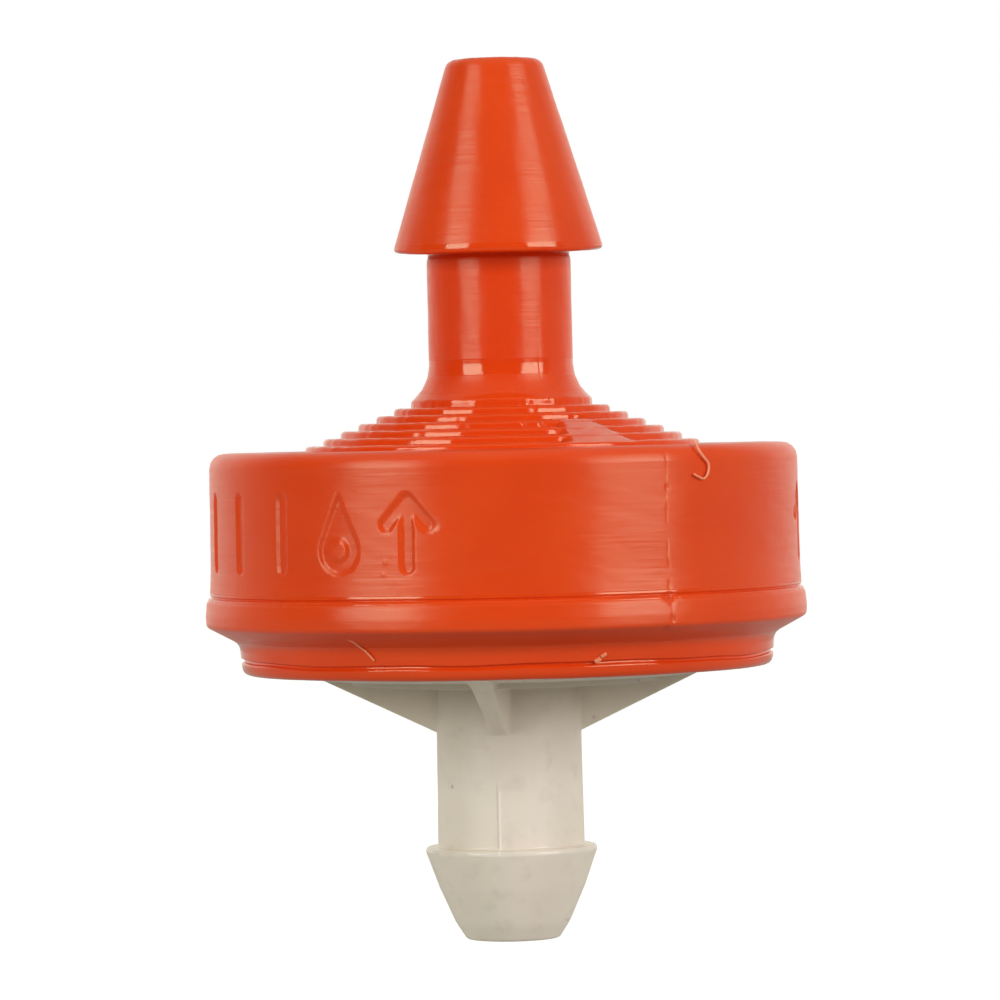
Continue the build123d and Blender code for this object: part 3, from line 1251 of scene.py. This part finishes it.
    def build(self) -> bpy.types.Object:
        """Builds the cap's mesh.

        Returns:
            The piece.
        """
        points, columns = self.outline(), self.columns()
        normals = outline_normals(points)
        radii, heights = (widened(points[:, axis], len(columns)) for axis in (0, 1))
        angles = repeated(columns, len(points))
        to_rim = np.abs(points[:, 0] - self.lip_r) + np.abs(points[:, 1] - self.bottom_z)
        row = np.arange(len(points))[:, None]
        outside = (row >= self.tip_rows) & (row < np.argmin(to_rim))
        lift = np.where(outside, self._relief(angles, radii, heights), 0.0)
        across = radii + lift * normals[:, :1]
        along = np.where(outside, self._smear_cone(angles, radii, heights), heights)
        along = along + lift * normals[:, 1:] + self._sway(angles, radii, heights) * outside
        self.piece = grid_mesh("outlet_cap_skin", around(across, np.radians(angles), along))
        return self.piece

    def finish(self, material: bpy.types.Material) -> None:
        """Dresses the cap and puts it on the housing.

        Args:
            material: the cap's finish.
        """
        dress(self.piece, material, Slot.CAP)
        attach(self.piece, HOUSING)
        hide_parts("outlet_cap")


# ---------------------------------------------------------------------------
# Base
# ---------------------------------------------------------------------------


@dataclass
class InletBase:
    """Grey-beige base: barb, neck, four tapered ribs, plate and rim."""

    bore_r: float = 0.85
    tip_z: float = -2.63
    tip_r: float = 1.31
    crest_r: float = 2.42
    crest_z: float = -0.14
    flank: tuple[tuple[float, float], ...] = ((1.62, -2.15), (2.06, -1.15))
    neck_r: float = 2.07
    neck_top_r: float = 2.045
    rib_low_z: float = 3.215
    rib_end_r: float = 5.45
    rib_end_z: float = 4.83
    rib_half_low: float = 0.195
    rib_half_high: float = 0.325
    rib_edge: float = 0.05
    rib_root: float = 0.12
    pad_r: float = 4.40
    pad_z: float = 4.62
    plate_z: float = 4.80
    boss_r: float = 6.38
    boss_edge_z: float = 4.95
    rim_r: float = 6.86
    rim_z: float = 5.30
    seat_z: float = 6.62
    chamber_r: float = 5.75
    chamber_z: float = 5.95
    rib_rows: int = 34
    open_columns: int = 30
    bumps: tuple[Bump, ...] = (
        Bump(-87.1, 0.06, 2.36, 0.09, -0.07),
        Bump(-112.3, -0.05, 2.42, 0.06, 0.05),
        Bump(-104.9, -0.08, 2.42, 0.045, 0.04),
        Bump(-65.8, 0.50, 2.07, 0.05, -0.04),
        Bump(-64.9, 1.95, 2.07, 0.05, -0.03),
        Bump(-117.5, 2.19, 2.07, 0.07, -0.05),
        Bump(-132.8, 1.90, 2.07, 0.06, -0.05),
    )
    piece: Optional[bpy.types.Object] = field(default=None, init=False)

    def lower_outline(self) -> np.ndarray:
        """Open outline from inside the chamber down the bore and up the outside to the ribs.

        Returns:
            Radius and height of each point.
        """
        corners = [
            Corner(self.chamber_r - 0.3, self.chamber_z, 0.0, 2.0),
            Corner(self.bore_r, self.chamber_z, 0.12, 2.0),
            Corner(self.bore_r, self.tip_z, 0.08),
            Corner(self.tip_r, self.tip_z, 0.14, 0.3),
            *(Corner(radius, height, 1.5, 0.3) for radius, height in self.flank),
            Corner(self.crest_r, self.crest_z, 0.10),
            Corner(self.crest_r - 0.01, -0.01, 0.08),
            Corner(self.neck_r, 0.01, 0.06, 0.22),
            Corner(self.neck_top_r, self.rib_low_z, 0.0),
        ]
        return outline(corners, closed=False)

    def root_outline(self) -> np.ndarray:
        """Open outline from the foot of the ribs up the neck and out under the plate.

        Returns:
            Radius and height of each row.
        """
        corners = [
            Corner(self.neck_top_r, self.rib_low_z, 0.0, 0.15),
            Corner(self.neck_top_r, self.pad_z, 0.14, 0.15),
            Corner(self.pad_r, self.pad_z, 0.05, 0.1),
            Corner(self.pad_r + 0.02, self.plate_z, 0.04, 0.1),
            Corner(self.rib_end_r, self.rib_end_z, 0.0),
        ]
        return self._resample(outline(corners, closed=False))

    def free_outline(self) -> np.ndarray:
        """The same number of points along the free edge of a rib.

        Returns:
            Radius and height of each row.
        """
        shares = self._row_shares()[:, None]
        start = np.array((self.neck_top_r, self.rib_low_z))
        end = np.array((self.rib_end_r, self.rib_end_z))
        return start + (end - start) * shares

    def _row_shares(self) -> np.ndarray:
        """Where the rows of the rib zone lie along their paths, from 0 to 1."""
        return np.linspace(0.0, 1.0, self.rib_rows)

    def _resample(self, points: np.ndarray) -> np.ndarray:
        """Points at the row shares along a path.

        Args:
            points: radius and height of the path's own points.

        Returns:
            Radius and height of each row.
        """
        gaps = np.linalg.norm(np.diff(points, axis=0), axis=1)
        along = np.concatenate(([0.0], np.cumsum(gaps))) / gaps.sum()
        shares = self._row_shares()
        return np.stack([np.interp(shares, along, points[:, axis]) for axis in (0, 1)], axis=1)

    def upper_outline(self) -> np.ndarray:
        """Open outline from the ribs' outer ends round the rim and into the chamber.

        Returns:
            Radius and height of each point.
        """
        corners = [
            Corner(self.rib_end_r, self.rib_end_z, 0.0),
            Corner(self.boss_r, self.boss_edge_z, 0.06),
            Corner(self.boss_r, self.rim_z, 0.04),
            Corner(self.rim_r, self.rim_z, 0.06),
            Corner(self.rim_r, self.seat_z, 0.05),
            Corner(self.chamber_r, self.seat_z, 0.05),
            Corner(self.chamber_r, self.chamber_z, 0.15),
            Corner(self.chamber_r - 0.3, self.chamber_z, 0.0),
        ]
        return outline(corners, closed=False)

    def _half_thickness(self, heights: np.ndarray) -> np.ndarray:
        """Half of a rib's thickness at a height."""
        share = (heights - self.rib_low_z) / (self.plate_z - self.rib_low_z)
        return self.rib_half_low + (self.rib_half_high - self.rib_half_low) * np.clip(share, 0.0, 1.0)

    def _half_rib(self, root: np.ndarray, free: np.ndarray) -> tuple[np.ndarray, np.ndarray, np.ndarray]:
        """Columns from the middle of a rib out to the plate beside it.

        Args:
            root: path under the plate.
            free: path along the free edge.

        Returns:
            Sideways offset, radius and height, each rows by columns.
        """
        gap = np.linalg.norm(root - free, axis=1)
        shrink = np.clip(gap / (self.rib_edge + self.rib_root + 0.03), 0.0, 1.0)
        edge, foot = self.rib_edge * shrink, self.rib_root * shrink
        offsets, depths = [], []
        for across in (0.0, 0.02, 0.04, 0.065, 0.10):
            offsets.append((0.0, across))
            depths.append(0.0 * gap)
        for turn in (0.0, 45.0, 90.0):
            sine, cosine = math.sin(math.radians(turn)), math.cos(math.radians(turn))
            offsets.append((1.0, edge * (sine - 1)))
            depths.append(edge * (1 - cosine))
        for turn in (90.0, 60.0, 30.0, 0.0):
            sine, cosine = math.sin(math.radians(turn)), math.cos(math.radians(turn))
            offsets.append((1.0, foot * (1 - sine)))
            depths.append(gap - foot * (1 - cosine))
        safe_gap = np.maximum(gap, 1e-9)
        fan = 0.035 * (1.0 - shrink)
        first_wall = sum(1 for walls, _ in offsets if walls == 0.0)
        sideways, radii, heights = [], [], []
        for index, ((walls, offset), depth) in enumerate(zip(offsets, depths)):
            offset = offset + fan * max(0, index - first_wall)
            place = free + (root - free) * np.clip(depth / safe_gap, 0.0, 1.0)[:, None]
            sideways.append(walls * self._half_thickness(place[:, 1]) + offset)
            radii.append(place[:, 0])
            heights.append(place[:, 1])
        return np.stack(sideways, axis=1), np.stack(radii, axis=1), np.stack(heights, axis=1)

    def _quarter(self) -> tuple[np.ndarray, np.ndarray, np.ndarray]:
        """One quarter of the base, from the middle of a rib to the middle of the next.

        Returns:
            Angles in radians, radii and heights, each rows by columns.
        """
        lower, upper = self.lower_outline(), self.upper_outline()
        root, free = self.root_outline(), self.free_outline()
        sideways, *rib = self._half_rib(root, free)
        turns = np.arcsin(np.clip(sideways / rib[0], -1.0, 1.0))
        low_turns, high_turns = repeated(turns[0], len(lower)), repeated(turns[-1], len(upper))
        turns = np.concatenate((low_turns[1:-1], turns, high_turns[1:]))
        shares = np.linspace(0.0, 1.0, self.open_columns + 2)[1:-1]
        first, last = turns[:, -1:], math.pi / 2 - turns[:, -1:]
        open_turns = first + (last - first) * shares
        grids = [np.concatenate((turns, open_turns, math.pi / 2 - turns[:, :0:-1]), axis=1)]
        for axis, middle in enumerate(rib):
            low, high = (widened(path[:, axis], turns.shape[1]) for path in (lower, upper))
            half = np.concatenate((low[1:-1], middle, high[1:]))
            flat = widened(half[:, -1], self.open_columns)
            grids.append(np.concatenate((half, flat, half[:, :0:-1]), axis=1))
        return tuple(grids)

    def _lift(self, angles: np.ndarray, radii: np.ndarray, heights: np.ndarray) -> np.ndarray:
        """Mould seam along two ribs and small moulding bumps on the neck and the crest.

        Args:
            angles: degrees of each point.
            radii: radius of each point.
            heights: height of each point.

        Returns:
            Lift in millimetres.
        """
        on_neck = (radii > self.neck_top_r - 0.05) & (heights < self.rib_low_z + 0.05) & (heights > -0.3)
        total = 0.005 * wave(angles + heights * 14, 61.0, 71)
        for number, seam in enumerate((-90.0, 90.0)):
            off = np.radians(turn_difference(angles, seam)) * radii
            height = (0.011 + 0.004 * wave(heights, 1.1, 73 + number)) * ease(heights, 1.9, 1.2)
            total += height * (hill(off - 0.02, 0.035) - 0.3 * hill(off + 0.05, 0.03))
        total += sum(bump.rise(angles, radii, heights) for bump in self.bumps)
        return np.where(on_neck, total, 0.0)

    def build(self) -> bpy.types.Object:
        """Builds the base's mesh.

        Returns:
            The piece.
        """
        turns, radii, heights = (grid[:, :-1] for grid in self._quarter())
        turns = np.concatenate([turns + quarter * math.pi / 2 for quarter in range(4)], axis=1)
        radii, heights = np.tile(radii, (1, 4)), np.tile(heights, (1, 4))
        across = radii + self._lift(np.degrees(turns), radii, heights)
        self.piece = grid_mesh("inlet_base_skin", around(across, turns, heights))
        return self.piece

    def finish(self, material: bpy.types.Material) -> None:
        """Dresses the base and puts it on the housing.

        Args:
            material: the base's finish.
        """
        dress(self.piece, material, Slot.BASE)
        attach(self.piece, HOUSING)
        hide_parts("inlet_base")


# ---------------------------------------------------------------------------
# Inner pieces and moulding scraps
# ---------------------------------------------------------------------------


@dataclass
class InnerPieces:
    """Maze disc and diaphragm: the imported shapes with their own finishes."""

    disc_node: str = "labyrinth_disc"
    diaphragm_node: str = "diaphragm"

    def finish(self, disc_material: bpy.types.Material, rubber: bpy.types.Material) -> None:
        """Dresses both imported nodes."""
        dress(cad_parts[self.disc_node], disc_material, Slot.INSERT)
        dress(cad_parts[self.diaphragm_node], rubber, Slot.SILICONE)


@dataclass(frozen=True)
class Curl:
    """Fine curled thread of flash; each point is an angle in degrees, a radius and a height."""

    name: str
    thickness: float
    path: tuple[Triple, ...]

    def build(self, material: bpy.types.Material) -> bpy.types.Object:
        """Builds the thread and puts it on the housing.

        Args:
            material: its finish.

        Returns:
            The piece.
        """
        curve = bpy.data.curves.new(self.name, "CURVE")
        curve.dimensions = "3D"
        curve.bevel_depth = self.thickness / 2 * MM
        curve.bevel_resolution = 3
        curve.use_fill_caps = True
        spline = curve.splines.new("NURBS")
        spline.points.add(len(self.path) - 1)
        for point, (angle, radius, height) in zip(spline.points, self.path):
            turn = math.radians(angle)
            point.co = (radius * math.cos(turn) * MM, radius * math.sin(turn) * MM, height * MM, 1.0)
        spline.order_u = 3
        spline.use_endpoint_u = True
        spline.resolution_u = 8
        shape = bpy.data.objects.new(self.name + "_curve", curve)
        bpy.context.scene.collection.objects.link(shape)
        bpy.context.view_layer.update()
        mesh = bpy.data.meshes.new_from_object(shape.evaluated_get(bpy.context.evaluated_depsgraph_get()))
        mesh.name = self.name
        bpy.data.objects.remove(shape)
        bpy.data.curves.remove(curve)
        mesh.shade_smooth()
        piece = bpy.data.objects.new(self.name, mesh)
        bpy.context.scene.collection.objects.link(piece)
        dress(piece, material, Slot.CAP)
        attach(piece, HOUSING)
        return piece


@dataclass(frozen=True)
class FlashScraps:
    """Scraps of flash left on the cap: a curl on the drum, one under the flange, two nubs."""

    colour: Triple = (0.95, 0.34, 0.19)
    deep_colour: Triple = (0.92, 0.26, 0.13)
    curls: tuple[Curl, ...] = (
        Curl(
            "flash_curl_drum",
            0.065,
            (
                (-41.5, 8.00, 11.33),
                (-42.7, 8.29, 11.20),
                (-42.5, 8.37, 11.04),
                (-41.3, 8.38, 10.85),
                (-40.3, 8.38, 10.72),
                (-40.3, 8.38, 10.53),
                (-40.9, 8.38, 10.36),
                (-41.8, 8.38, 10.29),
                (-42.8, 8.38, 10.34),
                (-44.0, 8.37, 10.43),
            ),
        ),
        Curl(
            "flash_curl_band",
            0.06,
            (
                (-115.0, 8.12, 6.22),
                (-113.6, 8.03, 6.15),
                (-113.1, 7.80, 5.98),
                (-112.3, 7.62, 5.84),
                (-111.4, 7.60, 5.72),
                (-110.4, 7.58, 5.58),
            ),
        ),
        Curl("flash_nub_low", 0.14, ((-63.6, 7.52, 5.44), (-63.2, 7.57, 5.48), (-62.7, 7.57, 5.51))),
        Curl("flash_nub_high", 0.11, ((-62.4, 7.54, 5.57), (-61.9, 7.58, 5.61), (-61.5, 7.55, 5.64))),
    )

    def build(self) -> None:
        """Builds every scrap in the paler plastic of thin flash."""
        material = OrangePlastic(colour=self.colour, deep_colour=self.deep_colour).material()
        for curl in self.curls:
            curl.build(material)
            log.info("%s built", curl.name)


# ---------------------------------------------------------------------------
# Studio
# ---------------------------------------------------------------------------


@dataclass(frozen=True)
class SoftBox:
    """One rectangular soft light; its azimuth in degrees is counted from the camera's."""

    name: str
    azimuth: float
    width: float
    height: float = 0.145
    elevation: float = 18.0
    distance: float = 0.30
    radiance: float = 7.15
    centre: Triple = (0.0, 0.0, 0.009)

    def build(self, camera_azimuth: float) -> None:
        """Builds the light, turned to the centre of the part.

        Args:
            camera_azimuth: the camera's azimuth in degrees.
        """
        data = bpy.data.lights.new(self.name, "AREA")
        data.shape = "RECTANGLE"
        data.size, data.size_y = self.width, self.height
        data.energy = self.radiance * math.pi * self.width * self.height
        turn, lean = math.radians(camera_azimuth + self.azimuth), math.radians(self.elevation)
        away = Vector((math.sin(turn) * math.cos(lean), -math.cos(turn) * math.cos(lean), math.sin(lean)))
        light = bpy.data.objects.new(self.name, data)
        light.location = Vector(self.centre) + away * self.distance
        light.rotation_mode = "QUATERNION"
        light.rotation_quaternion = (-away).to_track_quat("-Z", "Y")
        bpy.context.scene.collection.objects.link(light)


@dataclass
class Surroundings:
    """Brightness round the part: white behind it, dim in front, half bright above and below."""

    front_level: float = 0.05
    right_level: float = 0.45
    left_level: float = 0.30
    behind_level: float = 0.92
    above_level: float = 0.60
    below_level: float = 0.45
    straight_down_loss: float = 0.10
    warm_tint: Triple = (1.0, 0.96, 0.86)
    backdrop_tint: Triple = (1.0, 1.0, 1.0)

    def _level(self, graph: Graph, back: Triple, right: Triple) -> Value:
        """Brightness by direction.

        Args:
            graph: the world's graph.
            back: direction from the part to the camera.
            right: direction to the camera's right.

        Returns:
            The brightness.
        """
        direction = graph.place("Generated")
        front, side = graph.along(direction, back), graph.along(direction, right)
        up = graph.axis_value(direction, "Z")
        right_wall = side.smooth(0.55, 0.95) * front.smooth(0.35, 0.0)
        left_wall = side.smooth(-0.6, -0.95) * front.smooth(0.0, -0.3)
        level = self.front_level + right_wall * self.right_level + left_wall * self.left_level
        level = level + front.smooth(-0.30, -0.75) * (self.behind_level - level)
        level = level + up.smooth(0.45, 0.95) * (self.above_level - level)
        ground = self.below_level - up.smooth(-0.30, -0.95) * self.straight_down_loss
        return level + up.smooth(0.0, -0.12) * (ground - level)

    def build(self, camera_azimuth: float) -> None:
        """Builds the world; what the camera sees directly is plain white.

        Args:
            camera_azimuth: the camera's azimuth in degrees.
        """
        world = bpy.data.worlds.new("surroundings")
        bpy.context.scene.world = world
        world.use_nodes = True
        graph = Graph(world.node_tree)
        turn = math.radians(camera_azimuth)
        back, right = (math.sin(turn), -math.cos(turn), 0.0), (math.cos(turn), math.sin(turn), 0.0)
        level = self._level(graph, back, right)
        seen = graph.node("ShaderNodeLightPath", {}, {}, "Is Camera Ray")
        tint = graph.mix(seen, self.warm_tint, self.backdrop_tint)
        strength = level + seen * (1.0 - level)
        shade = graph.node("ShaderNodeBackground", {}, {"Color": tint, "Strength": strength})
        graph.node("ShaderNodeOutputWorld", {}, {"Surface": shade})


@dataclass
class Studio:
    """Camera, pale floor, bright surroundings and two soft boxes; metres and degrees."""

    camera_azimuth: float = 8.0
    camera_distance: float = 0.155
    camera_height: float = 0.0118
    aim_height: float = 0.00976
    aim_sideways: float = -0.00011
    roll: float = -1.28
    lens: float = 197.4
    sensor: float = 36.0
    nearest: float = 0.005
    farthest: float = 20.0
    floor_drop: float = 0.030
    floor_size: float = 3.0
    boxes: tuple[SoftBox, ...] = (SoftBox("left_box", -48.0, 0.150), SoftBox("right_box", 52.0, 0.165))

    def camera(self) -> None:
        """Builds the camera and makes it the scene's."""
        turn = math.radians(self.camera_azimuth)
        back = Vector((math.sin(turn), -math.cos(turn), 0.0))
        right = Vector((math.cos(turn), math.sin(turn), 0.0))
        spot = back * self.camera_distance + right * self.aim_sideways
        spot.z = self.camera_height
        aim = right * self.aim_sideways
        aim.z = self.aim_height
        data = bpy.data.cameras.new("camera")
        data.sensor_width = self.sensor
        data.lens = self.lens
        data.clip_start, data.clip_end = self.nearest, self.farthest
        camera = bpy.data.objects.new("camera", data)
        camera.location = spot
        camera.rotation_mode = "QUATERNION"
        look = (aim - spot).to_track_quat("-Z", "Y")
        camera.rotation_quaternion = look @ Quaternion((0, 0, 1), math.radians(self.roll))
        bpy.context.scene.collection.objects.link(camera)
        bpy.context.scene.camera = camera

    def floor(self) -> None:
        """Builds the pale floor, below the part because its barb is held by a pipe."""
        half = self.floor_size / 2
        level = CAD_LOW.z - self.floor_drop
        corners = [(-half, -half, level), (half, -half, level), (half, half, level), (-half, half, level)]
        mesh = bpy.data.meshes.new("floor")
        mesh.from_pydata(corners, [], [(0, 1, 2, 3)])
        mesh.materials.append(PaleFloor().material())
        floor = bpy.data.objects.new("floor", mesh)
        floor.visible_diffuse = False
        floor.visible_glossy = False
        bpy.context.scene.collection.objects.link(floor)

    def build(self) -> None:
        """Builds the whole studio."""
        self.camera()
        self.floor()
        Surroundings().build(self.camera_azimuth)
        for box in self.boxes:
            box.build(self.camera_azimuth)
        bpy.context.scene.view_settings.view_transform = "Standard"


# ---------------------------------------------------------------------------
# The whole part
# ---------------------------------------------------------------------------


def main() -> None:
    """Builds every piece in order and reports each one."""
    logging.basicConfig(level=logging.INFO, format="%(name)s: %(message)s")
    Studio().build()
    cap = OutletCap()
    cap.build()
    cap.finish(OrangePlastic().material())
    log.info("outlet cap: %d faces", len(cap.piece.data.polygons))
    base = InletBase()
    base.build()
    base.finish(BeigePlastic().material())
    log.info("inlet base: %d faces", len(base.piece.data.polygons))
    InnerPieces().finish(BlackPlastic().material(), SiliconeRubber().material())
    log.info("maze disc and diaphragm dressed")
    FlashScraps().build()


if __name__ == "__main__":
    main()
